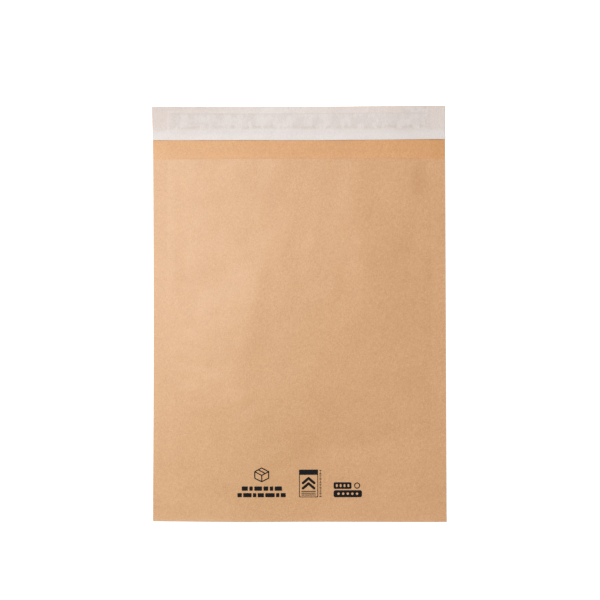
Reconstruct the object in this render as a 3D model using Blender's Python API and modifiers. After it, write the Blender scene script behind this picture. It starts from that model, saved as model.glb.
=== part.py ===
"""Kraft paper mailer: a pouch folded from one sheet, lying on its back with its closure flap open.

Metres, +Z up. The pouch rests on its back panel at z = 0, its bottom fold faces -Y and its flap +Y.
The origin is under the middle of the sheet, on the surface that the mailer lies on.
"""

import bmesh
import bpy
import numpy as np

# The sheet and the pouch that it is folded into
POUCH_WIDTH = 0.305
POCKET_HEIGHT = 0.379  # bottom fold to mouth
FLAP_LENGTH = 0.054  # mouth to the free edge of the flap
PAPER_THICKNESS = 0.0002
SEAM_WIDTH = 0.015  # each side, where the two panels are glued
GLUE_LINE = 0.0001  # glue between the two panels of a seam
GLUE_INSET = 0.0004  # the glue stops this far inside the edges of its seam

# The air that keeps the two panels apart. The front panel climbs from each seam to a soft bend,
# and is almost level between the two bends.
BULGE_HEIGHT = 0.0096  # gap between the panels, if the bends were sharp
LEFT_SLOPE = 0.080  # from the left seam to its bend, halfway up the panel
RIGHT_SLOPE = 0.090  # from the right seam to its bend
LEFT_BEND_LEAN = 0.12  # how far the left bend moves to the right per length up the panel
BEND_SOFTNESS = 0.25  # share of a slope that its bend is spread over
BOTTOM_RISE = 0.160  # length over which the front panel rises from the bottom fold
MOUTH_FALL = 0.130  # length over which it comes down to the mouth
MOUTH_DROP = 0.0010  # how much lower it is at the mouth

# The curl of the open flap, highest at its left corner
CURL_LEFT = 0.0060  # height of the flap's free edge at the left
CURL_RIGHT = 0.0003  # and at the right
CURL_DECAY = 4.0  # power by which it falls from left to right

# The closure: a band of adhesive on the flap's inner face, under a peel-off liner
ADHESIVE_LENGTH = 0.269
ADHESIVE_WIDTH = 0.0188
ADHESIVE_TOP_INSET = 0.0064  # flap edge to adhesive
ADHESIVE_THICKNESS = 0.0002
LINER_TOP_INSET = 0.0005  # flap edge to liner
LINER_SIDE_INSET = 0.0003
LINER_LIP_WIDTH = 0.009  # the part of the liner past the adhesive, to peel it by
LINER_LIP_RISE = 0.0005  # height by which the lip's edge stands off
LINER_THICKNESS = 0.00012
LAYER_CLEARANCE = 0.0003  # between two layers that lie on each other

# How finely the curved faces are divided
POCKET_COLUMNS = 34
SEAM_COLUMNS = 2
FRONT_ROWS = 38
BACK_ROWS = 4
FLAP_ROWS = 12
FOLD_SEGMENTS = 6
STRIP_COLUMNS = 24
STRIP_ROWS = 8

# Places worked out from the sizes above
HALF_WIDTH = POUCH_WIDTH / 2
HALF_POCKET = HALF_WIDTH - SEAM_WIDTH
BOTTOM_Y = -(POCKET_HEIGHT + FLAP_LENGTH) / 2
MOUTH_Y = BOTTOM_Y + POCKET_HEIGHT
FOLD_RADIUS = (PAPER_THICKNESS + GLUE_LINE) / 2  # of the middle of the paper
FOLD_Y = BOTTOM_Y + FOLD_RADIUS + PAPER_THICKNESS / 2
BACK_MIDDLE_Z = PAPER_THICKNESS / 2
FRONT_MIDDLE_Z = BACK_MIDDLE_Z + 2 * FOLD_RADIUS
GLUE_BITE = PAPER_THICKNESS / 3  # depth of the glue in each panel, which joins all three
ADHESIVE_FAR = FLAP_LENGTH - ADHESIVE_TOP_INSET  # distances from the mouth
ADHESIVE_NEAR = ADHESIVE_FAR - ADHESIVE_WIDTH
LINER_FAR = FLAP_LENGTH - LINER_TOP_INSET
LINER_NEAR = ADHESIVE_NEAR - LINER_LIP_WIDTH
ADHESIVE_MIDDLE_Z = PAPER_THICKNESS + LAYER_CLEARANCE + ADHESIVE_THICKNESS / 2
ADHESIVE_TOP_Z = ADHESIVE_MIDDLE_Z + ADHESIVE_THICKNESS / 2
LINER_MIDDLE_Z = ADHESIVE_TOP_Z + LAYER_CLEARANCE + LINER_THICKNESS / 2

# Linear colour and roughness
KRAFT = ("kraft paper", (0.70, 0.42, 0.23, 1.0), 0.85)
ADHESIVE = ("hot melt adhesive", (0.72, 0.62, 0.48, 1.0), 0.45)
RELEASE_PAPER = ("release paper", (0.78, 0.73, 0.70, 1.0), 0.50)


def clear_scene():
    for obj in list(bpy.data.objects):
        bpy.data.objects.remove(obj, do_unlink=True)


def new_collection(name):
    collection = bpy.data.collections.new(name)
    bpy.context.scene.collection.children.link(collection)
    return collection


def make_material(name, colour, roughness):
    material = bpy.data.materials.new(name)
    material.use_nodes = True
    shader = material.node_tree.nodes["Principled BSDF"]
    shader.inputs["Base Color"].default_value = colour
    shader.inputs["Roughness"].default_value = roughness
    shader.inputs["Metallic"].default_value = 0.0
    return material


def smooth(share):
    """0 below 0 and 1 above 1, with a soft start and end between."""
    share = min(max(share, 0.0), 1.0)
    return share * share * (3 - 2 * share)


def climb(from_seam, slope):
    """0 at a seam and almost 1 past the bend at the top of its slope, which is a soft one."""

    def short_by(share):
        return (share + np.hypot(share, BEND_SOFTNESS)) / 2

    return 1 - short_by(1 - from_seam / slope) / short_by(1)


def pocket_gap(x, y):
    """Gap that the air adds between the panels: none in the seams and at the bottom fold."""
    if abs(x) >= HALF_POCKET:
        return 0.0
    left_slope = LEFT_SLOPE + LEFT_BEND_LEAN * (y - (FOLD_Y + MOUTH_Y) / 2)
    across = climb(HALF_POCKET + x, left_slope) * climb(HALF_POCKET - x, RIGHT_SLOPE)
    short_of_full = 1 - min((y - FOLD_Y) / BOTTOM_RISE, 1.0)
    drop = MOUTH_DROP * smooth((y - MOUTH_Y + MOUTH_FALL) / MOUTH_FALL)
    return (BULGE_HEIGHT * (1 - short_of_full**2) - drop) * across


def front_point(x, y):
    return (x, y, FRONT_MIDDLE_Z + pocket_gap(x, y))


def back_point(x, y):
    return (x, y, BACK_MIDDLE_Z)


def fold_point(x, turn):
    """A point of the bottom fold: turn goes from 0 at the back panel to 1 at the front panel."""
    angle = np.pi * turn
    y = FOLD_Y - FOLD_RADIUS * np.sin(angle)
    return (x, y, BACK_MIDDLE_Z + FOLD_RADIUS * (1 - np.cos(angle)))


def flap_point(x, from_mouth, height):
    """A point at a height over the flap, which curls up as a parabola and keeps its length."""
    share = from_mouth / FLAP_LENGTH
    from_left = x / POUCH_WIDTH + 0.5
    lift = CURL_RIGHT + (CURL_LEFT - CURL_RIGHT) * (1 - from_left) ** CURL_DECAY
    drawn_in = 2 / 3 * lift**2 / FLAP_LENGTH * share**3
    return (x, MOUTH_Y + from_mouth - drawn_in, height + lift * share**2)


def liner_height(from_mouth):
    """Height of the middle of the liner over the flap: its lip stands off past the adhesive."""
    into_lip = max(ADHESIVE_NEAR - from_mouth, 0.0) / LINER_LIP_WIDTH
    return LINER_MIDDLE_Z + LINER_LIP_RISE * into_lip**2


def steps(start, end, count):
    """The places that divide a length in equal parts, without the last."""
    return list(np.linspace(start, end, count + 1)[:-1])


def sheet_columns():
    """The x of each column of the sheet, with one on the inner edge of each seam."""
    left_seam = steps(-HALF_WIDTH, -HALF_POCKET, SEAM_COLUMNS)
    pocket = steps(-HALF_POCKET, HALF_POCKET, POCKET_COLUMNS)
    right_seam = steps(HALF_POCKET, HALF_WIDTH, SEAM_COLUMNS)
    return left_seam + pocket + right_seam + [HALF_WIDTH]


def sheet_rows():
    """A function of x for each row, from the flap's free edge round the bottom fold to the mouth."""
    flap = steps(FLAP_LENGTH, 0, FLAP_ROWS)
    back = steps(MOUTH_Y, FOLD_Y, BACK_ROWS)
    front = steps(FOLD_Y, MOUTH_Y, FRONT_ROWS) + [MOUTH_Y]
    rows = [lambda x, d=d: flap_point(x, d, BACK_MIDDLE_Z) for d in flap]
    rows += [lambda x, y=y: back_point(x, y) for y in back]
    rows += [lambda x, turn=turn: fold_point(x, turn) for turn in steps(0, 1, FOLD_SEGMENTS)]
    rows += [lambda x, y=y: front_point(x, y) for y in front]
    return rows


def strip_rows(near, far, height_of):
    """A function of x for each row of a strip that lies along the flap."""
    places = np.linspace(far, near, STRIP_ROWS + 1)
    return [lambda x, d=d: flap_point(x, d, height_of(d)) for d in places]


def laid_sheet(name, columns, rows, thickness, collection, material):
    """A grid laid through the given columns and rows, with half the thickness on each side of it."""
    mesh = bpy.data.meshes.new(name)
    grid = bmesh.new()
    last_column = len(columns) - 1
    last_row = len(rows) - 1
    bmesh.ops.create_grid(grid, x_segments=last_column, y_segments=last_row, size=0.5)
    for vertex in grid.verts:
        column = round((vertex.co.x + 0.5) * last_column)
        row = round((vertex.co.y + 0.5) * last_row)
        vertex.co = rows[row](columns[column])
    grid.to_mesh(mesh)
    grid.free()
    mesh.shade_smooth()
    mesh.set_sharp_from_angle(angle=np.radians(40))
    mesh.materials.append(material)
    sheet = bpy.data.objects.new(name, mesh)
    collection.objects.link(sheet)
    wall = sheet.modifiers.new("thickness", "SOLIDIFY")
    wall.thickness = thickness
    wall.offset = 0
    wall.use_even_offset = True
    return sheet


def make_glue(name, side, collection):
    """The glue of one side seam, which bites a little into both panels."""
    inner_x = HALF_POCKET + GLUE_INSET
    outer_x = HALF_WIDTH - GLUE_INSET
    lower_y = FOLD_Y + GLUE_INSET
    upper_y = MOUTH_Y - GLUE_INSET
    depth = GLUE_LINE + 2 * GLUE_BITE
    centre_z = PAPER_THICKNESS + GLUE_LINE / 2
    centre = (side * (inner_x + outer_x) / 2, (lower_y + upper_y) / 2, centre_z)
    bpy.ops.mesh.primitive_cube_add(size=1, location=centre)
    glue = bpy.context.object
    glue.name = name
    glue.dimensions = (outer_x - inner_x, upper_y - lower_y, depth)
    bpy.ops.object.transform_apply(location=False, rotation=False, scale=True)
    for owner in list(glue.users_collection):
        owner.objects.unlink(glue)
    collection.objects.link(glue)
    glue.hide_render = True
    glue.display_type = "WIRE"
    return glue


def make_pouch(parts, tools, kraft):
    """One sheet with its flap, folded at the bottom and glued to itself along both sides."""
    pouch = laid_sheet("kraft_pouch", sheet_columns(), sheet_rows(), PAPER_THICKNESS, parts, kraft)
    for name, side in (("left_glue", -1), ("right_glue", 1)):
        seam = pouch.modifiers.new(name, "BOOLEAN")
        seam.operation = "UNION"
        seam.solver = "EXACT"
        seam.object = make_glue(name, side, tools)


def make_adhesive(parts, material):
    columns = np.linspace(-ADHESIVE_LENGTH / 2, ADHESIVE_LENGTH / 2, STRIP_COLUMNS + 1)
    rows = strip_rows(ADHESIVE_NEAR, ADHESIVE_FAR, lambda from_mouth: ADHESIVE_MIDDLE_Z)
    laid_sheet("closure_adhesive", columns, rows, ADHESIVE_THICKNESS, parts, material)


def make_liner(parts, material):
    half_length = HALF_WIDTH - LINER_SIDE_INSET
    columns = np.linspace(-half_length, half_length, STRIP_COLUMNS + 1)
    rows = strip_rows(LINER_NEAR, LINER_FAR, liner_height)
    laid_sheet("release_liner", columns, rows, LINER_THICKNESS, parts, material)


def main():
    clear_scene()
    parts = new_collection("kraft_mailer")
    tools = new_collection("seam_glue")
    make_pouch(parts, tools, make_material(*KRAFT))
    make_adhesive(parts, make_material(*ADHESIVE))
    make_liner(parts, make_material(*RELEASE_PAPER))


main()
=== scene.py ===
"""A kraft paper mailer on a white table, seen from above.

Metres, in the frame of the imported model: +Y runs from the bottom fold to the flap and +Z is up.
"""

import bpy
import numpy as np
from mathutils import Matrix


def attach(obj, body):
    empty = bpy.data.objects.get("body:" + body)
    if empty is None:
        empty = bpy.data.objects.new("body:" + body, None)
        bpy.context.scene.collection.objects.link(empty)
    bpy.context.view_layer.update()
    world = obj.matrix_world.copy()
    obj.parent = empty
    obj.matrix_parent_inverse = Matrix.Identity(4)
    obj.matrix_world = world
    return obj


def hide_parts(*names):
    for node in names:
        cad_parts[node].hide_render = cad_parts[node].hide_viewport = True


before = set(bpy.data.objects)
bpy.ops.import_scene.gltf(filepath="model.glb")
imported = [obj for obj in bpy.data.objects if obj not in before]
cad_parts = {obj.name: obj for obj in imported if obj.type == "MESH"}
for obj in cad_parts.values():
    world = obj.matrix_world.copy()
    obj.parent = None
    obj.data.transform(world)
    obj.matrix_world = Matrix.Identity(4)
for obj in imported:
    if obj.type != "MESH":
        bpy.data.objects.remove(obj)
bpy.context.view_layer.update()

# The folded sheet, as it is cut
POUCH_WIDTH = 0.305
POCKET_HEIGHT = 0.379
FLAP_LENGTH = 0.054
PAPER_THICKNESS = 0.0002
SEAM_WIDTH = 0.015
HALF_WIDTH = POUCH_WIDTH / 2
HALF_POCKET = HALF_WIDTH - SEAM_WIDTH
BOTTOM_Y = -(POCKET_HEIGHT + FLAP_LENGTH) / 2
MOUTH_Y = BOTTOM_Y + POCKET_HEIGHT
BACK_Z = PAPER_THICKNESS / 2
SEAM_Z = BACK_Z + PAPER_THICKNESS + 0.00003
FOLD_RADIUS = 0.0003
FOLD_Y = BOTTOM_Y + FOLD_RADIUS + PAPER_THICKNESS / 2
FOLD_SETTLE = 0.004

# The closure
LINER_FAR = FLAP_LENGTH - 0.0003
LINER_NEAR = 0.0198
LINER_THICKNESS = 0.00012
ADHESIVE_HALF_LENGTH = 0.1345
ADHESIVE_FAR = FLAP_LENGTH - 0.0064
ADHESIVE_NEAR = ADHESIVE_FAR - 0.0188
ADHESIVE_THICKNESS = 0.0002
# How far beside the adhesive the liner comes down to the flap
LINER_DRAPE = 0.003

# How far the ink stands over the paper's face, and how far it reaches in
INK_FILM = 0.00003

# Soft ridges of the front panel, valleys where the height is below 0: height, start, end and width
RIDGES = (
    (0.00015, (-0.038, 0.055), (-0.065, -0.075), 0.0085),
    (0.00022, (-0.030, 0.026), (-0.118, -0.034), 0.017),
    (0.00030, (-0.064, -0.085), (-0.052, -0.122), 0.012),
    (0.00055, (-0.054, -0.105), (-0.024, -0.155), 0.013),
    (-0.00090, (0.000, -0.144), (0.112, -0.129), 0.016),
    (-0.00018, (-0.150, -0.187), (-0.070, -0.190), 0.007),
    (-0.00040, (-0.061, 0.050), (-0.115, 0.010), 0.014),
    (0.00028, (0.056, 0.165), (0.054, 0.100), 0.013),
    (0.00065, (0.072, 0.078), (0.074, -0.012), 0.022),
    (0.00030, (0.092, 0.115), (0.096, -0.010), 0.020),
)

# Dips of the front panel: depth, centre, and the bell's width and height
DIPS = (
    (0.00120, (0.138, 0.142), 0.012, 0.022),
    (0.00240, (0.000, 0.058), 0.098, 0.068),
    (0.00100, (-0.052, -0.108), 0.050, 0.032),
)

# The darker spot near the right seam: its middle and its size
DARK_SPOT_PLACE = (0.1260, 0.143)
DARK_SPOT_SIZE = (0.009, 0.024)


# Shapes


def soft_step(share):
    """0 below 0 and 1 above 1, with a soft start and end between: 3 s squared less 2 s cubed."""
    share = np.clip(share, 0, 1)
    return share * share * (3 - 2 * share)


def soft_positive(value, roundness):
    """The value where it is well above 0, nothing where it is well below, and a bend between:
    half of the value plus the root of its square plus the roundness squared."""
    return (value + np.sqrt(value * value + roundness * roundness)) / 2


def bump_along(x, y, start, end, width, fade=0.3):
    """A soft ridge 1 high along a straight line: a bell across the line, fading in and out at its ends."""
    ax, ay = start
    dx, dy = end[0] - ax, end[1] - ay
    length = np.hypot(dx, dy)
    along = ((x - ax) * dx + (y - ay) * dy) / length**2
    aside = ((x - ax) * dy - (y - ay) * dx) / length
    ends = soft_step((along + fade / 2) / fade) * soft_step((1 + fade / 2 - along) / fade)
    return np.exp(-((aside / width) ** 2)) * ends


def dent(x, y, centre, width, height):
    """A bell 1 high, stretched to a width and a height: e to the power of less u squared less v squared,
    where u and v are the distances from the centre, in widths and in heights."""
    u = (x - centre[0]) / width
    v = (y - centre[1]) / height
    return np.exp(-(u * u + v * v))


def waves(x, y, seed, count, shortest, longest):
    """Gentle unevenness about 1 high: cosines of mixed direction and length, the long ones higher."""
    draw = np.random.default_rng(seed)
    total = np.zeros(np.broadcast(x, y).shape)
    power = 0.0
    for _ in range(count):
        length = shortest * (longest / shortest) ** draw.random()
        angle = draw.random() * np.pi
        phase = draw.random() * 2 * np.pi
        size = length / longest
        along = x * np.cos(angle) + y * np.sin(angle)
        total += size * np.cos(2 * np.pi * along / length + phase)
        power += size * size / 2
    return total / np.sqrt(power)


def bend_place(y):
    """x of the soft bend where the front panel, climbing from the left seam, turns level."""
    return -0.040 - 0.029 * dent(0, y, (0, -0.068), 1, 0.053)


def climb(from_seam, slope, softness):
    """0 at a seam and almost 1 past the bend at the top of its slope."""
    short_by = soft_positive(1 - from_seam / slope, softness)
    return 1 - short_by / soft_positive(1.0, softness)


def pocket_gap(x, y):
    """Height of the front panel over its seams. It is 9.8 mm times 1 less the square of what is left of the
    climb from the bottom fold, less 3.4 mm towards the mouth and 3.8 mm at the lower right, each in a soft
    step. All of it is multiplied by a climb from each seam to a soft bend, beyond which the panel is almost
    level. The left bend is sharpest, and lowest, halfway down."""
    softness = 0.20 + 0.65 * soft_step((y - 0.035) / 0.09) + 0.30 * soft_step((-0.10 - y) / 0.06)
    left_rise = climb(np.clip(HALF_POCKET + x, 0, None), bend_place(y) + HALF_POCKET, softness)
    right_slope = 0.125 - 0.040 * soft_step((y + 0.075) / 0.13)
    right_rise = climb(np.clip(HALF_POCKET - x, 0, None), right_slope, 0.5)
    rise_length = 0.118 + 0.017 * soft_step((x + 0.05) / 0.07)
    up = soft_positive((y - FOLD_Y - 0.012) / rise_length, 0.10) - soft_positive(-0.012 / rise_length, 0.10)
    short_of_full = 1 - np.clip(up, 0, 1)
    drop = 0.0034 * soft_step((y - MOUTH_Y + 0.13) / 0.13)
    low_bend = 0.18 * dent(0, y, (0, -0.055), 1, 0.042) * (1 - soft_step((x - bend_place(y)) / 0.12))
    left_rise = left_rise * (1 - low_bend)
    step = 0.0038 * (1 - soft_step((y - 0.08 * x + 0.128) / 0.060)) * soft_step((x + 0.020) / 0.060)
    return (0.0098 * (1 - short_of_full**2) - drop - step * (1 - short_of_full)) * left_rise * right_rise


def corner_reach(x, y):
    """How far the sheet's left corners reach out past the middle of its left edge, which the full pocket
    draws in: 0.9 mm, falling with the square of the way to the middle of the edge and the cube of the way
    right."""
    away = np.clip(np.abs(y - 0.015) / 0.205, 0, 1)
    return -0.0009 * away**2 * (0.5 - x / POUCH_WIDTH) ** 3


def stand_off(x, y):
    """How far the sheet stands off the table. The seams are stiff: each rises to its inner edge, the left
    one most of all halfway down, and the panel behind it sinks back over 0.11 m. The bottom fold rises
    1.8 mm left of its middle, in a bell across that dies away upwards."""
    left = np.clip((HALF_WIDTH + x) / SEAM_WIDTH, 0, 1) * (1 - soft_step((HALF_POCKET + x) / 0.11))
    right = np.clip((HALF_WIDTH - x) / SEAM_WIDTH, 0, 1) * (1 - soft_step((HALF_POCKET - x) / 0.11))
    fold = dent(x, 0, (-0.062, 0), 0.055, 1) * np.exp((FOLD_Y - y) / 0.07)
    return (0.0002 + 0.0012 * dent(0, y, (0, -0.030), 1, 0.120)) * left + 0.0006 * right + 0.0018 * fold


def unevenness(x, y):
    """Small forms of the front panel, in metres: long and short swells, soft ridges, dips, a puckered place
    near the left edge, and a mouth that sinks a little right of its middle. All die away at the seams and
    at the fold."""
    swell = 0.00009 * waves(x, y, 11, 26, 0.035, 0.12)
    swell += 0.000025 * waves(x, y, 12, 30, 0.012, 0.03)
    for height, start, end, width in RIDGES:
        swell += height * bump_along(x, y, start, end, width)
    for depth, centre, width, height in DIPS:
        swell -= depth * dent(x, y, centre, width, height)
    pucker = np.cos((y + 0.25 * x) * 2 * np.pi / 0.018)
    swell += 0.00004 * dent(x, y, (-0.110, -0.070), 0.030, 0.045) * pucker
    swell -= 0.00040 * soft_step((y - MOUTH_Y + 0.035) / 0.035) * dent(x, 0, (0.062, 0), 0.035, 1)
    inside = soft_step((HALF_POCKET - np.abs(x)) / 0.02) * soft_step((y - FOLD_Y) / 0.03)
    return swell * inside


def front_height(x, y):
    """Height of the middle of the front panel's paper: the fold's puff dies away upwards, and the pocket
    adds its gap and swells, which bend off softly where they would meet the back panel."""
    puff = (BACK_Z + 2 * FOLD_RADIUS - SEAM_Z) * np.exp(-np.clip(y - FOLD_Y, 0, None) / FOLD_SETTLE)
    softness = 0.0003 * soft_step((HALF_POCKET - np.abs(x)) / 0.01) * soft_step((y - FOLD_Y) / 0.01)
    return SEAM_Z + puff + stand_off(x, y) + soft_positive(pocket_gap(x, y) + unevenness(x, y), softness)


def corner_rise(x, y):
    """How far the lower left corner is drawn up: 0.5 mm, falling with the square of the way up and the cube
    of the way right."""
    return 0.0005 * np.clip((-0.10 - y) / 0.1165, 0, 1) ** 2 * (0.5 - x / POUCH_WIDTH) ** 3


def laid(x, y, z):
    """Points of a layer of the mailer, with the places that its left corners are drawn to."""
    return np.stack(np.broadcast_arrays(x + corner_reach(x, y), y + corner_rise(x, y), z), axis=-1)


def flap_lift(x):
    """Height of the flap's free edge: it falls from the left corner as the fourth power of what is left."""
    return 0.0003 + 0.0057 * (0.5 - x / POUCH_WIDTH) ** 4


def flap_points(x, from_mouth, height):
    """Points over the flap, which curls up as a parabola and keeps its length, with a light ripple. Its
    free edge is cut a little askew: 0.35 mm longer at the left and as much shorter at the right, but the
    right third ends 0.5 mm further out, in a soft step."""
    share = from_mouth / FLAP_LENGTH
    lift = flap_lift(x)
    drawn_in = 2 / 3 * lift**2 / FLAP_LENGTH * share**3
    ripple = (0.00026 + 0.00012 * waves(x, from_mouth, 21, 14, 0.03, 0.09)) * soft_step(share)
    askew = (0.0005 * soft_step((x - 0.010) / 0.100) - 0.0007 * x / POUCH_WIDTH) * share
    y = MOUTH_Y + from_mouth - drawn_in + askew
    return laid(x, y, height + stand_off(x, MOUTH_Y) + lift * share**2 + ripple)


def spread(*runs):
    """Places along a line: each run is a start, an end and how many steps it has, and the last end closes
    the line."""
    places = [np.linspace(start, end, count, endpoint=False) for start, end, count in runs]
    return np.concatenate(places + [[runs[-1][1]]])


def shell_mesh(name, points, thickness):
    """A closed sheet of paper. points is a grid, rows by columns, through the middle of the paper. Half the
    thickness goes to each side along the grid's normals, and strips round the edge close it.
    Material 0 is on the side that the normals point to, 1 on the other side and 2 on the cut edge."""
    rows, columns = points.shape[:2]
    normals = np.cross(np.gradient(points, axis=1), np.gradient(points, axis=0))
    normals /= np.linalg.norm(normals, axis=2, keepdims=True)
    near = (points + normals * thickness / 2).reshape(-1, 3)
    far = (points - normals * thickness / 2).reshape(-1, 3)
    index = np.arange(rows * columns).reshape(rows, columns)
    corners = (index[:-1, :-1], index[:-1, 1:], index[1:, 1:], index[1:, :-1])
    top = np.stack(corners, axis=-1).reshape(-1, 4)
    bottom = top[:, ::-1] + rows * columns
    border = np.concatenate([index[0, :-1], index[:-1, -1], index[-1, :0:-1], index[:0:-1, 0]])
    after = np.roll(border, -1)
    rim = np.stack([after, border, border + rows * columns, after + rows * columns], axis=-1)
    faces = np.concatenate([top, bottom, rim])
    slots = np.repeat([0, 1, 2], [len(top), len(bottom), len(rim)])
    return build_mesh(name, np.concatenate([near, far]), faces, slots)


def build_mesh(name, points, faces, slots=None):
    """A mesh object from whole arrays of points and of faces with three or four corners each."""
    mesh = bpy.data.meshes.new(name)
    sides = faces.shape[1]
    mesh.vertices.add(len(points))
    mesh.vertices.foreach_set("co", np.ascontiguousarray(points, np.float32).ravel())
    mesh.loops.add(faces.size)
    mesh.loops.foreach_set("vertex_index", np.ascontiguousarray(faces, np.int32).ravel())
    mesh.polygons.add(len(faces))
    mesh.polygons.foreach_set("loop_start", np.arange(0, faces.size, sides, dtype=np.int32))
    if slots is not None:
        mesh.polygons.foreach_set("material_index", slots.astype(np.int32))
    mesh.update(calc_edges=True)
    mesh.validate()
    mesh.shade_smooth()
    mesh.set_sharp_from_angle(angle=np.radians(40))
    piece = bpy.data.objects.new(name, mesh)
    bpy.context.scene.collection.objects.link(piece)
    return piece


def make_pouch():
    """The folded sheet, from the flap's free edge down the back, round the bottom fold and up the front.
    Its columns are close at the inner edges of the seams. The front panel is cut a little askew: it ends
    0.3 mm short of the flap's fold at the left and 1.3 mm at the right."""
    close = 0.0015
    columns = spread(
        (-HALF_WIDTH, -HALF_POCKET - close, 7),
        (-HALF_POCKET - close, -HALF_POCKET + close, 10),
        (-HALF_POCKET + close, HALF_POCKET - close, 118),
        (HALF_POCKET - close, HALF_POCKET + close, 10),
        (HALF_POCKET + close, HALF_WIDTH, 7),
    )
    flap_rows = spread((FLAP_LENGTH, 0.0, 26))[:-1]
    back_rows = spread((MOUTH_Y, FOLD_Y + 0.002, 40), (FOLD_Y + 0.002, FOLD_Y, 2))[:-1]
    turns = np.linspace(0, np.pi, 11)[:-1]
    front_rows = spread((FOLD_Y, FOLD_Y + 0.002, 5), (FOLD_Y + 0.002, MOUTH_Y, 178))
    x = columns[None, :]
    flap = flap_points(x, flap_rows[:, None], BACK_Z)
    back = laid(x, back_rows[:, None], BACK_Z + stand_off(x, back_rows[:, None]))
    turn = turns[:, None]
    fold_z = BACK_Z + stand_off(x, FOLD_Y) + FOLD_RADIUS * (1 - np.cos(turn))
    fold = laid(x, FOLD_Y - FOLD_RADIUS * np.sin(turn), fold_z)
    short = (0.0008 + 0.0005 * x / HALF_WIDTH) * (front_rows[:, None] - FOLD_Y) / (MOUTH_Y - FOLD_Y)
    front_y = front_rows[:, None] - short
    front = laid(x, front_y, front_height(x, front_y))
    sheet = np.concatenate([flap, back, fold, front])
    return shell_mesh("mailer_sheet", sheet, PAPER_THICKNESS)


def adhesive_cover(x, from_mouth):
    """1 over the band of adhesive, falling softly to 0 beside it."""
    ends = soft_step((ADHESIVE_HALF_LENGTH - np.abs(x)) / LINER_DRAPE + 1)
    near = soft_step((from_mouth - ADHESIVE_NEAR) / LINER_DRAPE + 1)
    far = soft_step((ADHESIVE_FAR - from_mouth) / LINER_DRAPE + 1)
    return ends * near * far


def make_adhesive():
    """The band of adhesive, which lies on the flap and follows its ripple."""
    x = np.linspace(-ADHESIVE_HALF_LENGTH, ADHESIVE_HALF_LENGTH, 181)[None, :]
    from_mouth = np.linspace(ADHESIVE_NEAR, ADHESIVE_FAR, 17)[:, None]
    height = PAPER_THICKNESS + 0.00001 + ADHESIVE_THICKNESS / 2
    return shell_mesh("adhesive_band", flap_points(x, from_mouth, height), ADHESIVE_THICKNESS)


def make_liner():
    """The liner drapes over the band of adhesive, lies just over the flap beside it, and its lip stands off
    a little. The lip's edge bows 0.7 mm towards the mouth. Its columns are close at the band's ends."""
    half = HALF_WIDTH - 0.0002
    before, after = ADHESIVE_HALF_LENGTH - 0.0035, ADHESIVE_HALF_LENGTH + 0.0035
    columns = spread(
        (-half, -after, 8),
        (-after, -before, 10),
        (-before, before, 150),
        (before, after, 10),
        (after, half, 8),
    )
    x = columns[None, :]
    rows = spread((LINER_NEAR, LINER_NEAR + 0.003, 6), (LINER_NEAR + 0.003, LINER_FAR, 54))
    from_mouth = rows[:, None]
    bow = 0.0007 * dent(x, 0, (0.055, 0), 0.13, 1)
    from_mouth = from_mouth - bow * (LINER_FAR - from_mouth) / (LINER_FAR - LINER_NEAR)
    rest = BACK_Z + PAPER_THICKNESS / 2 + LINER_THICKNESS / 2 + 0.0001
    over = (ADHESIVE_THICKNESS + 0.00002) * adhesive_cover(x, from_mouth)
    into_lip = np.clip((ADHESIVE_NEAR - from_mouth) / (ADHESIVE_NEAR - LINER_NEAR), 0, 1)
    lip = (0.00045 + 0.0002 * waves(x, 0 * x, 31, 8, 0.04, 0.12)) * into_lip**2
    pucker = 0.00003 * waves(x, from_mouth, 32, 24, 0.008, 0.025)
    strip = flap_points(x, from_mouth, rest + over + lip + pucker)
    return shell_mesh("liner_strip", strip, LINER_THICKNESS)


# Printed marks: fields of x and y that are below 0 where there is ink


def block(x, y, centre, size, radius=0.0):
    """Distance to a rectangle with round corners, below 0 inside."""
    dx = np.abs(x - centre[0]) - size[0] / 2 + radius
    dy = np.abs(y - centre[1]) - size[1] / 2 + radius
    outside = np.hypot(np.clip(dx, 0, None), np.clip(dy, 0, None))
    return outside + np.minimum(np.maximum(dx, dy), 0) - radius


def stroke(x, y, start, end, width):
    """Distance to a straight pen stroke with round ends, below 0 inside."""
    dx, dy = end[0] - start[0], end[1] - start[1]
    share = ((x - start[0]) * dx + (y - start[1]) * dy) / (dx * dx + dy * dy)
    share = np.clip(share, 0, 1)
    return np.hypot(x - start[0] - share * dx, y - start[1] - share * dy) - width / 2


def ring(x, y, centre, radius, width):
    """Distance to a circle drawn with a pen of that width, below 0 inside."""
    return np.abs(np.hypot(x - centre[0], y - centre[1]) - radius) - width / 2


def joined(*fields):
    """The ink of any of the fields: the lowest of them everywhere."""
    return np.minimum.reduce(fields)


def strokes(x, y, corners, width):
    """A line through the corners, drawn with a pen of that width."""
    return joined(*[stroke(x, y, a, b, width) for a, b in zip(corners, corners[1:])])


def dashes(x, y, left, y_middle, height, widths, space):
    """A row of short bars with round corners, of the given widths and an even space between."""
    fields = []
    for width in widths:
        fields.append(block(x, y, (left + width / 2, y_middle), (width, height), 0.0006))
        left += width + space
    return joined(*fields)


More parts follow.
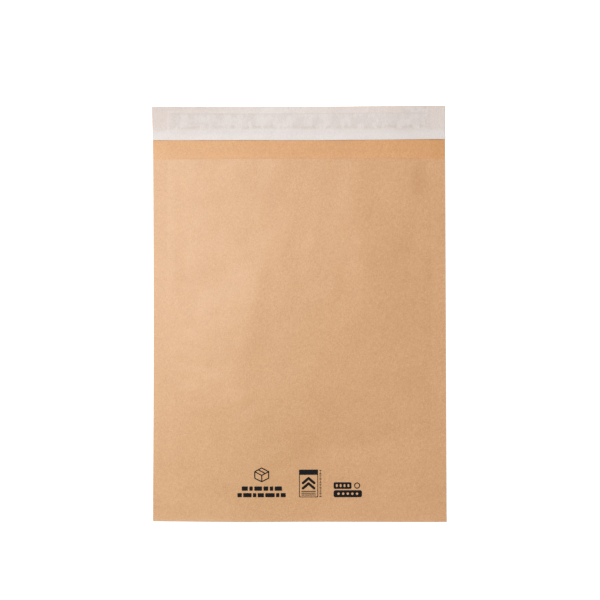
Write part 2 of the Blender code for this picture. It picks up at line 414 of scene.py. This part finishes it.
def parcel_mark(x, y):
    """A parcel drawn in lines over two rows of dashes."""
    w, cy, pen = 0.0072, 0.0083, 0.0012
    top, bottom = (0, cy + 0.0072), (0, cy - 0.0072)
    upper_left, upper_right = (-w, cy + 0.0033), (w, cy + 0.0033)
    lower_left, lower_right = (-w, cy - 0.0036), (w, cy - 0.0036)
    middle = (0, cy - 0.0006)
    outline = strokes(x, y, [top, upper_left, lower_left, bottom, lower_right, upper_right, top], pen)
    inner = joined(
        stroke(x, y, upper_left, middle, pen),
        stroke(x, y, upper_right, middle, pen),
        stroke(x, y, middle, bottom, pen),
    )
    tape = stroke(x, y, (-w / 2, cy + 0.0053), (w / 2, cy + 0.0014), pen)
    upper_widths = [0.0064, 0.0036, 0.0081, 0.0050, 0.0036, 0.0076]
    lower_widths = [0.0047, 0.0088, 0.0036, 0.0066, 0.0098, 0.0036, 0.0053]
    upper_row = dashes(x, y, -0.0208, -0.0062, 0.0046, upper_widths, 0.0015)
    lower_row = dashes(x, y, -0.0253, -0.0131, 0.0044, lower_widths, 0.0013)
    return joined(outline, inner, tape, upper_row, lower_row)


def frame_mark(x, y):
    """An upright frame with a solid head, two bold chevrons and three thin rules, and a column of specks
    beside it."""
    outside = block(x, y, (0, 0), (0.0198, 0.0291), 0.0008)
    inside = block(x, y, (0, 0), (0.0182, 0.0275), 0.0004)
    border = np.maximum(outside, -inside)
    head = block(x, y, (0, 0.0117), (0.0196, 0.0055), 0.0004)
    lower = strokes(x, y, [(-0.0058, -0.0050), (0, 0.0000), (0.0058, -0.0050)], 0.0027)
    upper = strokes(x, y, [(-0.0058, 0.0005), (0, 0.0055), (0.0058, 0.0005)], 0.0027)
    rules = joined(*[block(x, y, (0, -0.0083 - 0.0019 * n), (0.0150, 0.0009)) for n in range(3)])
    specks = []
    for n in range(18):
        width = 0.0012 + 0.0009 * (n % 3 != 1)
        specks.append(block(x, y, (0.0123, -0.0137 + 0.0016 * n), (width, 0.0009)))
    return joined(border, head, lower, upper, rules, *specks)


def blocks_mark(x, y):
    """A long block with a row of holes under a shorter block with slots and a ring."""
    long_block = block(x, y, (0, -0.0042), (0.0295, 0.0074), 0.0020)
    holes = joined(*[np.hypot(x + 0.0096 - 0.0048 * n, y + 0.0042) - 0.00125 for n in range(5)])
    short_block = block(x, y, (-0.0054, 0.0043), (0.0187, 0.0070), 0.0016)
    middles = [(-0.0114 + 0.0040 * n, 0.0043) for n in range(4)]
    slots = joined(*[block(x, y, middle, (0.0019, 0.0030), 0.0007) for middle in middles])
    loop = ring(x, y, (0.0097, 0.0043), 0.0027, 0.0011)
    return joined(np.maximum(long_block, -holes), np.maximum(short_block, -slots), loop)


def make_mark(name, field, centre, size, cell=0.00034):
    """The ink of a mark: a grid of small triangles is cut where the field is 0, along each side in
    proportion to its two ends but never at a corner, and laid on the front panel as a film with a top, a
    bottom and a rim."""
    count_x, count_y = int(size[0] / cell), int(size[1] / cell)
    u = np.linspace(-size[0] / 2, size[0] / 2, count_x + 1)
    v = np.linspace(-size[1] / 2, size[1] / 2, count_y + 1)
    u, v = [axis.ravel() for axis in np.meshgrid(u, v)]
    value = field(u, v)
    value = np.where(np.abs(value) < 1e-8, 1e-8, value)
    index = np.arange(len(u)).reshape(count_y + 1, count_x + 1)
    a, b, c, d = index[:-1, :-1], index[:-1, 1:], index[1:, 1:], index[1:, :-1]
    cells = np.concatenate([np.stack([a, b, c], -1).reshape(-1, 3), np.stack([a, c, d], -1).reshape(-1, 3)])
    inked = value[cells] < 0
    count = inked.sum(axis=1)
    crossed = (count == 1) | (count == 2)
    odd = np.where(count[crossed, None] == 1, inked[crossed], ~inked[crossed]).argmax(axis=1)
    turned = cells[crossed][np.arange(crossed.sum())[:, None], (odd[:, None] + np.arange(3)) % 3]
    sides = np.sort(np.concatenate([turned[:, [0, 1]], turned[:, [0, 2]]]), axis=1)
    sides, place = np.unique(sides, axis=0, return_inverse=True)
    first, last = value[sides[:, 0]], value[sides[:, 1]]
    share = np.clip(first / (first - last), 0.02, 0.98)
    cut_u = u[sides[:, 0]] + share * (u[sides[:, 1]] - u[sides[:, 0]])
    cut_v = v[sides[:, 0]] + share * (v[sides[:, 1]] - v[sides[:, 0]])
    place = place.reshape(2, -1) + len(u)
    lone = count[crossed] == 1
    tips = np.stack([turned[lone, 0], place[0][lone], place[1][lone]], -1)
    wide = turned[~lone]
    halves = np.concatenate(
        [
            np.stack([place[0][~lone], wide[:, 1], wide[:, 2]], -1),
            np.stack([place[0][~lone], wide[:, 2], place[1][~lone]], -1),
        ]
    )
    faces = np.concatenate([cells[count == 3], tips, halves])
    used, faces = np.unique(faces, return_inverse=True)
    faces = faces.reshape(-1, 3)
    x = np.concatenate([u, cut_u])[used] + centre[0]
    y = np.concatenate([v, cut_v])[used] + centre[1]
    paper_top = front_height(x, y) + PAPER_THICKNESS / 2
    bottom, top = laid(x, y, paper_top - INK_FILM), laid(x, y, paper_top + INK_FILM)
    edges = np.concatenate([faces[:, [0, 1]], faces[:, [1, 2]], faces[:, [2, 0]]])
    _, back, times = np.unique(np.sort(edges, axis=1), axis=0, return_inverse=True, return_counts=True)
    rim = edges[times[back.ravel()] == 1]
    n = len(used)
    walls = np.concatenate(
        [
            np.stack([rim[:, 0], rim[:, 1], rim[:, 1] + n], -1),
            np.stack([rim[:, 0], rim[:, 1] + n, rim[:, 0] + n], -1),
        ]
    )
    every = np.concatenate([faces + n, faces[:, ::-1], walls])
    return build_mesh(name, np.concatenate([bottom, top]), every)


# Finishes


class Finish:
    """A material whose shader nodes are added one at a time. Patterns are in metres, on Object
    coordinates."""

    def __init__(self, name):
        self.material = bpy.data.materials.new(name)
        self.material.use_nodes = True
        self.tree = self.material.node_tree
        self.shader = self.tree.nodes["Principled BSDF"]
        self.place = self.add("ShaderNodeTexCoord").outputs["Object"]

    def add(self, kind, **settings):
        node = self.tree.nodes.new(kind)
        for key, value in settings.items():
            setattr(node, key, value)
        return node

    def join(self, source, socket):
        """Links an output to an input, or sets the input to a plain value."""
        if isinstance(source, bpy.types.NodeSocket):
            self.tree.links.new(source, socket)
        else:
            socket.default_value = source

    def maths(self, operation, *values):
        node = self.add("ShaderNodeMath", operation=operation)
        for value, socket in zip(values, node.inputs):
            self.join(value, socket)
        return node.outputs[0]

    def product(self, first, second):
        return self.maths("MULTIPLY", first, second)

    def noise(self, size, detail=2.0, rough=0.5, stretch=(1, 1, 1), turn=0.0, shift=(0, 0, 0)):
        """Noise around 0.5 with features of about that size in metres, stretched and turned about Z."""
        mapping = self.add("ShaderNodeMapping")
        mapping.inputs["Location"].default_value = shift
        mapping.inputs["Rotation"].default_value = (0, 0, turn)
        mapping.inputs["Scale"].default_value = tuple(1 / s for s in stretch)
        self.join(self.place, mapping.inputs["Vector"])
        noise = self.add("ShaderNodeTexNoise", noise_dimensions="3D")
        noise.inputs["Scale"].default_value = 1 / size
        noise.inputs["Detail"].default_value = detail
        noise.inputs["Roughness"].default_value = rough
        self.join(mapping.outputs["Vector"], noise.inputs["Vector"])
        return noise.outputs["Fac"]

    def total(self, base, *parts):
        """The base plus each pattern's distance from 0.5 times its gain."""
        result = base
        for pattern, gain in parts:
            offset = self.maths("SUBTRACT", pattern, 0.5)
            result = self.maths("MULTIPLY_ADD", offset, gain, result)
        return result

    def ramp(self, value, low, high):
        """0 at low and 1 at high, smooth between."""
        node = self.add("ShaderNodeMapRange", interpolation_type="SMOOTHSTEP")
        for source, socket in zip((value, low, high, 0.0, 1.0), node.inputs):
            self.join(source, socket)
        return node.outputs["Result"]

    def distance(self, value, middle):
        """How far a value is from a middle, either way."""
        return self.maths("ABSOLUTE", self.maths("SUBTRACT", value, middle))

    def blend(self, factor, low, high):
        """The colour low where the factor is 0 and high where it is 1."""
        node = self.add("ShaderNodeMix", data_type="RGBA")
        sockets = [s for s in node.inputs if s.enabled]
        self.join(factor, sockets[0])
        for value, socket in zip((low, high), sockets[1:]):
            self.join((*value, 1.0) if isinstance(value, tuple) else value, socket)
        return [s for s in node.outputs if s.enabled][0]

    def coordinate(self, axis):
        node = self.add("ShaderNodeSeparateXYZ")
        self.join(self.place, node.inputs[0])
        return node.outputs[axis]

    def surface(self, colour, roughness, height, depth, specular):
        """Links the shader. The depth is how deep the relief is, in metres, where the height goes from 0
        to 1."""
        self.join(colour, self.shader.inputs["Base Color"])
        self.join(roughness, self.shader.inputs["Roughness"])
        self.shader.inputs["Specular IOR Level"].default_value = specular
        bump = self.add("ShaderNodeBump")
        bump.inputs["Strength"].default_value = 1.0
        bump.inputs["Distance"].default_value = depth
        self.join(height, bump.inputs["Height"])
        self.join(bump.outputs["Normal"], self.shader.inputs["Normal"])
        return self.material


def kraft_fibres(finish):
    """Long pale and dark fibres that cross each other, and the cloudy formation of the pulp."""
    long_fibres = finish.noise(0.00045, 3, 0.6, (1, 7, 1), 0.25)
    cross_fibres = finish.noise(0.00040, 3, 0.6, (6, 1, 1), -0.35, (0.3, 0.1, 0))
    grain = finish.noise(0.00100, 3, 0.7)
    flecks = finish.noise(0.0040, 2, 0.5)
    clouds = finish.noise(0.028, 3, 0.5)
    return long_fibres, cross_fibres, grain, flecks, clouds


def mouth_painted_light_share(finish):
    """Painted light: 1 at the middle of the flap along the mouth, where the front panel's raised lip shades
    it, falling to 0 towards its ends and 8 mm up the flap.
    """
    near_mouth = finish.ramp(finish.coordinate("Y"), MOUTH_Y + 0.008, MOUTH_Y)
    off_middle = finish.maths("ABSOLUTE", finish.coordinate("X"))
    return finish.product(near_mouth, finish.ramp(off_middle, 0.135, 0.080))


def dark_spot_share(finish):
    """1 in the middle of the darker spot, falling to 0 at its ragged edge."""
    squares = []
    for axis, middle, size in zip("XY", DARK_SPOT_PLACE, DARK_SPOT_SIZE):
        off = finish.maths("MULTIPLY_ADD", finish.coordinate(axis), 1 / size, -middle / size)
        squares.append(finish.product(off, off))
    off_spot = finish.maths("ADD", *squares)
    off_spot = finish.total(off_spot, (finish.noise(0.008, 2, 0.6, (1, 2, 1)), 2.0))
    return finish.ramp(off_spot, 1.5, 0.0)


def kraft_finish(name, dark, light, right_painted_tint, right_painted_shade, mouth_painted_light=0.0, dark_spot=0.0):
    """Brown kraft paper: tone from its fibres and formation, with a few dark shives and a soft tooth. The
    right painted tint multiplies the colour of the right side, and the right painted shade lowers the tone
    a
    little towards it: painted shade and a painted shift of hue where the light and the sheen fall off to
    the right. The mouth painted light says how much paler the flap is painted along the mouth, painted
    light against the shade under the front panel's raised lip, and the dark spot how much darker a spot
    near the right seam is."""
    finish = Finish(name)
    long_fibres, cross_fibres, grain, flecks, clouds = kraft_fibres(finish)
    tone = finish.total(
        0.5, (long_fibres, 1.9), (cross_fibres, 1.7), (grain, 2.1), (flecks, 0.3), (clouds, 0.40)
    )
    # Painted shade and a painted tint towards the right, where the light and the sheen fall off
    to_right = finish.ramp(finish.coordinate("X"), -0.12, HALF_WIDTH)
    tone = finish.maths("MULTIPLY_ADD", to_right, -right_painted_shade, tone)
    # Painted light along the mouth, against the shade under the front panel's raised lip
    if mouth_painted_light:
        tone = finish.maths("MULTIPLY_ADD", mouth_painted_light_share(finish), mouth_painted_light, tone)
    if dark_spot:
        tone = finish.maths("MULTIPLY_ADD", dark_spot_share(finish), -dark_spot, tone)
    right_dark, right_light = [tuple(np.multiply(end, right_painted_tint)) for end in (dark, light)]
    left_colour = finish.blend(tone, dark, light)
    colour = finish.blend(to_right, left_colour, finish.blend(tone, right_dark, right_light))
    shives = finish.noise(0.0011, 1, 0.5, (1, 3, 1), 0.9, (0.7, 0.2, 0))
    shives = finish.ramp(shives, 0.775, 0.83)
    colour = finish.blend(finish.product(shives, 0.35), colour, (0.25, 0.13, 0.06))
    height = finish.total(0.5, (long_fibres, 0.5), (cross_fibres, 0.4), (grain, 0.6), (flecks, 0.5))
    shine = finish.total(0.50, (grain, 0.12), (flecks, 0.10))
    return finish.surface(colour, shine, height, depth=0.00004, specular=0.85)


def liner_finish():
    """White release paper that lets through what it lies on: it is whitest along its loose lip, warmer
    where it touches the kraft, and greyer and blotchy over the adhesive. The band of adhesive has a firm
    line along its far edge, and ragged rims along its near edge and its right end. Near that end it spills
    6.5 mm further out."""
    finish = Finish("release_paper_face")
    x, y = finish.coordinate("X"), finish.coordinate("Y")
    from_mouth = finish.maths("SUBTRACT", y, MOUTH_Y)
    wander = finish.total(from_mouth, (finish.noise(0.014, 2, 0.5, (1, 1, 1), 0, (0.5, 0, 0)), 0.006))

    # Where the liner touches the flap, less so left of the middle
    lifted = finish.ramp(finish.distance(x, -0.026), 0.09, 0.01)
    touching = finish.ramp(wander, ADHESIVE_NEAR - 0.0014, ADHESIVE_NEAR + 0.0030)
    touching = finish.product(touching, finish.maths("MULTIPLY_ADD", lifted, -0.6, 1.0))

    # Where it lies on the adhesive, and the lines along the adhesive's edges
    spill = finish.product(finish.ramp(x, 0.108, 0.112), 0.0065)
    past = finish.maths("SUBTRACT", from_mouth, spill)
    near = finish.ramp(wander, ADHESIVE_NEAR + 0.0010, ADHESIVE_NEAR + 0.0036)
    far = finish.ramp(past, ADHESIVE_FAR + 0.0003, ADHESIVE_FAR - 0.0015)
    left = finish.ramp(x, -ADHESIVE_HALF_LENGTH - 0.0010, -ADHESIVE_HALF_LENGTH + 0.0045)
    right = finish.ramp(x, ADHESIVE_HALF_LENGTH + 0.0008, ADHESIVE_HALF_LENGTH - 0.0012)
    across, along = finish.product(near, far), finish.product(left, right)
    band = finish.product(across, along)
    off_far = finish.distance(from_mouth, ADHESIVE_FAR - 0.0009)
    off_near = finish.distance(wander, ADHESIVE_NEAR + 0.0041)
    off_end = finish.distance(x, ADHESIVE_HALF_LENGTH - 0.0024)
    far_line = finish.product(finish.ramp(off_far, 0.0009, 0.0003), along)
    near_rim = finish.product(finish.ramp(off_near, 0.0024, 0.0006), along)
    end_rim = finish.product(finish.ramp(off_end, 0.0026, 0.0008), across)

    # The paper's grain, darker at its right end, and the adhesive's blotches
    blotches = finish.noise(0.0090, 2, 0.5, (1, 1.7, 1), 0, (0.2, 0.4, 0))
    streaks = finish.noise(0.0050, 3, 0.6, (1, 2.2, 1), 0, (0.1, 0.3, 0))
    wet = finish.ramp(finish.total(0.5, (blotches, 1.6), (streaks, 1.2)), 0.30, 0.70)
    grain = finish.noise(0.0011, 2, 0.6)
    threads = finish.noise(0.0006, 2, 0.6, (1, 5, 1), 0, (0.4, 0, 0))
    clouds = finish.noise(0.021, 2, 0.5)
    paper = finish.total(0.5, (grain, 2.2), (threads, 1.5), (clouds, 0.6))
    near_right_end = finish.ramp(finish.distance(x, 0.118), 0.035, 0.0)
    paper = finish.maths("MULTIPLY_ADD", near_right_end, -0.4, paper)

    # The tones of the paper, from dark to light, by what lies under it
    loose = finish.blend(paper, (0.640, 0.590, 0.562), (0.735, 0.685, 0.655))
    warm = finish.blend(paper, (0.615, 0.535, 0.492), (0.715, 0.634, 0.590))
    damp = finish.blend(paper, (0.590, 0.521, 0.487), (0.685, 0.618, 0.585))
    open_spots = finish.blend(paper, (0.630, 0.568, 0.537), (0.721, 0.662, 0.631))
    soaked = finish.blend(paper, (0.552, 0.472, 0.432), (0.648, 0.568, 0.526))
    colour = finish.blend(touching, loose, warm)
    colour = finish.blend(band, colour, finish.blend(wet, open_spots, damp))
    colour = finish.blend(finish.product(far_line, 0.45), colour, soaked)
    rims = finish.product(finish.maths("MAXIMUM", near_rim, end_rim), finish.ramp(streaks, 0.40, 0.58))
    colour = finish.blend(finish.product(rims, 0.7), colour, soaked)
    height = finish.total(0.5, (streaks, 0.5), (grain, 0.25), (threads, 0.3))
    return finish.surface(colour, 0.50, height, depth=0.00005, specular=0.42)


def plain_finish(name, dark, light, size, roughness, depth, specular=0.5):
    """A finish whose tone wanders a little between two colours."""
    finish = Finish(name)
    tone = finish.total(0.5, (finish.noise(size, 3, 0.6), 1.0), (finish.noise(size * 9, 2, 0.5), 0.7))
    return finish.surface(finish.blend(tone, dark, light), roughness, tone, depth, specular)


# The table, the light and the camera


def make_table():
    """A wide white table. To the camera it glows, so that it is white: little near the mailer, where its
    shadow shows, and fully from 1.3 m away."""
    finish = Finish("white_table")
    bpy.ops.mesh.primitive_grid_add(x_subdivisions=2, y_subdivisions=2, size=12)
    table = bpy.context.object
    table.name = "table"
    table.location.z = -0.0002
    glow = finish.add("ShaderNodeEmission")
    seen = finish.add("ShaderNodeLightPath")
    strength = finish.maths("MAXIMUM", seen.outputs["Is Camera Ray"], seen.outputs["Is Glossy Ray"])
    strength = finish.maths("MAXIMUM", strength, seen.outputs["Is Transmission Ray"])
    away = finish.add("ShaderNodeVectorMath", operation="LENGTH")
    finish.join(finish.place, away.inputs[0])
    least_glow, glow_grows_from, glow_full_at = 0.42, 0.35, 1.3
    share = finish.ramp(away.outputs["Value"], glow_grows_from, glow_full_at)
    level = finish.maths("MULTIPLY_ADD", share, 1 - least_glow, least_glow)
    finish.join(finish.product(strength, level), glow.inputs["Strength"])
    finish.shader.inputs["Base Color"].default_value = (0.72, 0.72, 0.72, 1)
    finish.shader.inputs["Roughness"].default_value = 1.0
    finish.shader.inputs["Specular IOR Level"].default_value = 0.0
    both = finish.add("ShaderNodeAddShader")
    finish.join(finish.shader.outputs[0], both.inputs[0])
    finish.join(glow.outputs[0], both.inputs[1])
    finish.join(both.outputs[0], finish.tree.nodes["Material Output"].inputs["Surface"])
    table.data.materials.append(finish.material)


def make_world():
    """White where it is looked at, and a soft even light on the object."""
    world = bpy.data.worlds.new("studio")
    bpy.context.scene.world = world
    world.use_nodes = True
    tree = world.node_tree
    tree.nodes.clear()
    seen = tree.nodes.new("ShaderNodeLightPath")
    white, fill = [tree.nodes.new("ShaderNodeBackground") for _ in range(2)]
    for light, strength in ((white, 1.0), (fill, 0.42)):
        light.inputs["Strength"].default_value = strength
        light.inputs["Color"].default_value = (1, 1, 1, 1)
    mix = tree.nodes.new("ShaderNodeMixShader")
    out = tree.nodes.new("ShaderNodeOutputWorld")
    tree.links.new(seen.outputs["Is Camera Ray"], mix.inputs[0])
    tree.links.new(fill.outputs[0], mix.inputs[1])
    tree.links.new(white.outputs[0], mix.inputs[2])
    tree.links.new(mix.outputs[0], out.inputs["Surface"])


def make_lamp(name, place, size, power):
    """A square soft lamp that faces the middle of the mailer."""
    lamp = bpy.data.lights.new(name, "AREA")
    lamp.shape = "SQUARE"
    lamp.size = size
    lamp.energy = power
    holder = bpy.data.objects.new(name, lamp)
    bpy.context.scene.collection.objects.link(holder)
    holder.location = place
    aim = -holder.location.normalized()
    holder.rotation_euler = aim.to_track_quat("-Z", "Y").to_euler()


def make_camera():
    """Nearly straight above, a little to the right, with the mailer low in the frame. The focal length is
    given in pixels of a picture 600 pixels wide."""
    focal_px, picture_px = 1148.9, 600
    camera = bpy.data.cameras.new("camera")
    camera.sensor_width = 36.0
    camera.lens = focal_px / picture_px * camera.sensor_width
    camera.clip_start = 0.05
    camera.clip_end = 20.0
    holder = bpy.data.objects.new("camera", camera)
    bpy.context.scene.collection.objects.link(holder)
    holder.location = (0.0243, 0.0004, 1.2)
    holder.rotation_mode = "XYZ"
    holder.rotation_euler = (np.radians(0.672), np.radians(1.128), np.radians(-0.145))
    bpy.context.scene.camera = holder


def dress(piece, materials, replaced=None):
    """Gives a piece its materials and, where it has them and the solid that it stands for."""
    for material in materials:
        piece.data.materials.append(material)
    if replaced:
        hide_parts(replaced)
    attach(piece, "root")


def main():
    scene = bpy.context.scene
    scene.view_settings.view_transform = "Standard"
    # The outer face gets a little painted shade and a painted tint towards the right
    outer = kraft_finish(
        "kraft_outer_face",
        dark=(0.521, 0.268, 0.108),
        light=(0.676, 0.395, 0.186),
        right_painted_tint=(1.014, 0.986, 1.024),
        right_painted_shade=0.02,
        dark_spot=0.24,
    )
    # The inner face gets more painted shade towards the right, and painted light along the mouth against
    # the shade under the front panel's lip
    inner = kraft_finish(
        "kraft_inner_face",
        dark=(0.537, 0.249, 0.075),
        light=(0.696, 0.365, 0.140),
        right_painted_tint=(1.015, 0.990, 1.020),
        right_painted_shade=0.18,
        mouth_painted_light=0.30,
    )
    edge = plain_finish("kraft_cut_edge", (0.60, 0.38, 0.22), (0.78, 0.54, 0.35), 0.0006, 0.9, 0.00002)
    dress(make_pouch(), [outer, inner, edge], "kraft_pouch")

    glue = plain_finish("hot_melt", (0.62, 0.50, 0.36), (0.78, 0.70, 0.56), 0.002, 0.35, 0.00005)
    dress(make_adhesive(), [glue] * 3, "closure_adhesive")

    face = liner_finish()
    paper_edge = plain_finish(
        "release_paper_edge", (0.78, 0.74, 0.70), (0.86, 0.83, 0.80), 0.001, 0.8, 0.00001
    )
    dress(make_liner(), [face, face, paper_edge], "release_liner")

    ink = plain_finish(
        "black_ink", (0.003, 0.003, 0.004), (0.009, 0.009, 0.011), 0.0008, 0.7, 0.00001, specular=0.15
    )
    dress(make_mark("parcel_mark", parcel_mark, (-0.0393, -0.1755), (0.0520, 0.0340)), [ink])
    dress(make_mark("frame_mark", frame_mark, (0.0093, -0.1764), (0.0280, 0.0300)), [ink])
    dress(make_mark("blocks_mark", blocks_mark, (0.0500, -0.1830), (0.0310, 0.0170)), [ink])

    make_table()
    make_world()
    make_lamp("key_lamp", (-1.48, 0.84, 3.04), 1.2, 95.5)
    make_camera()


main()
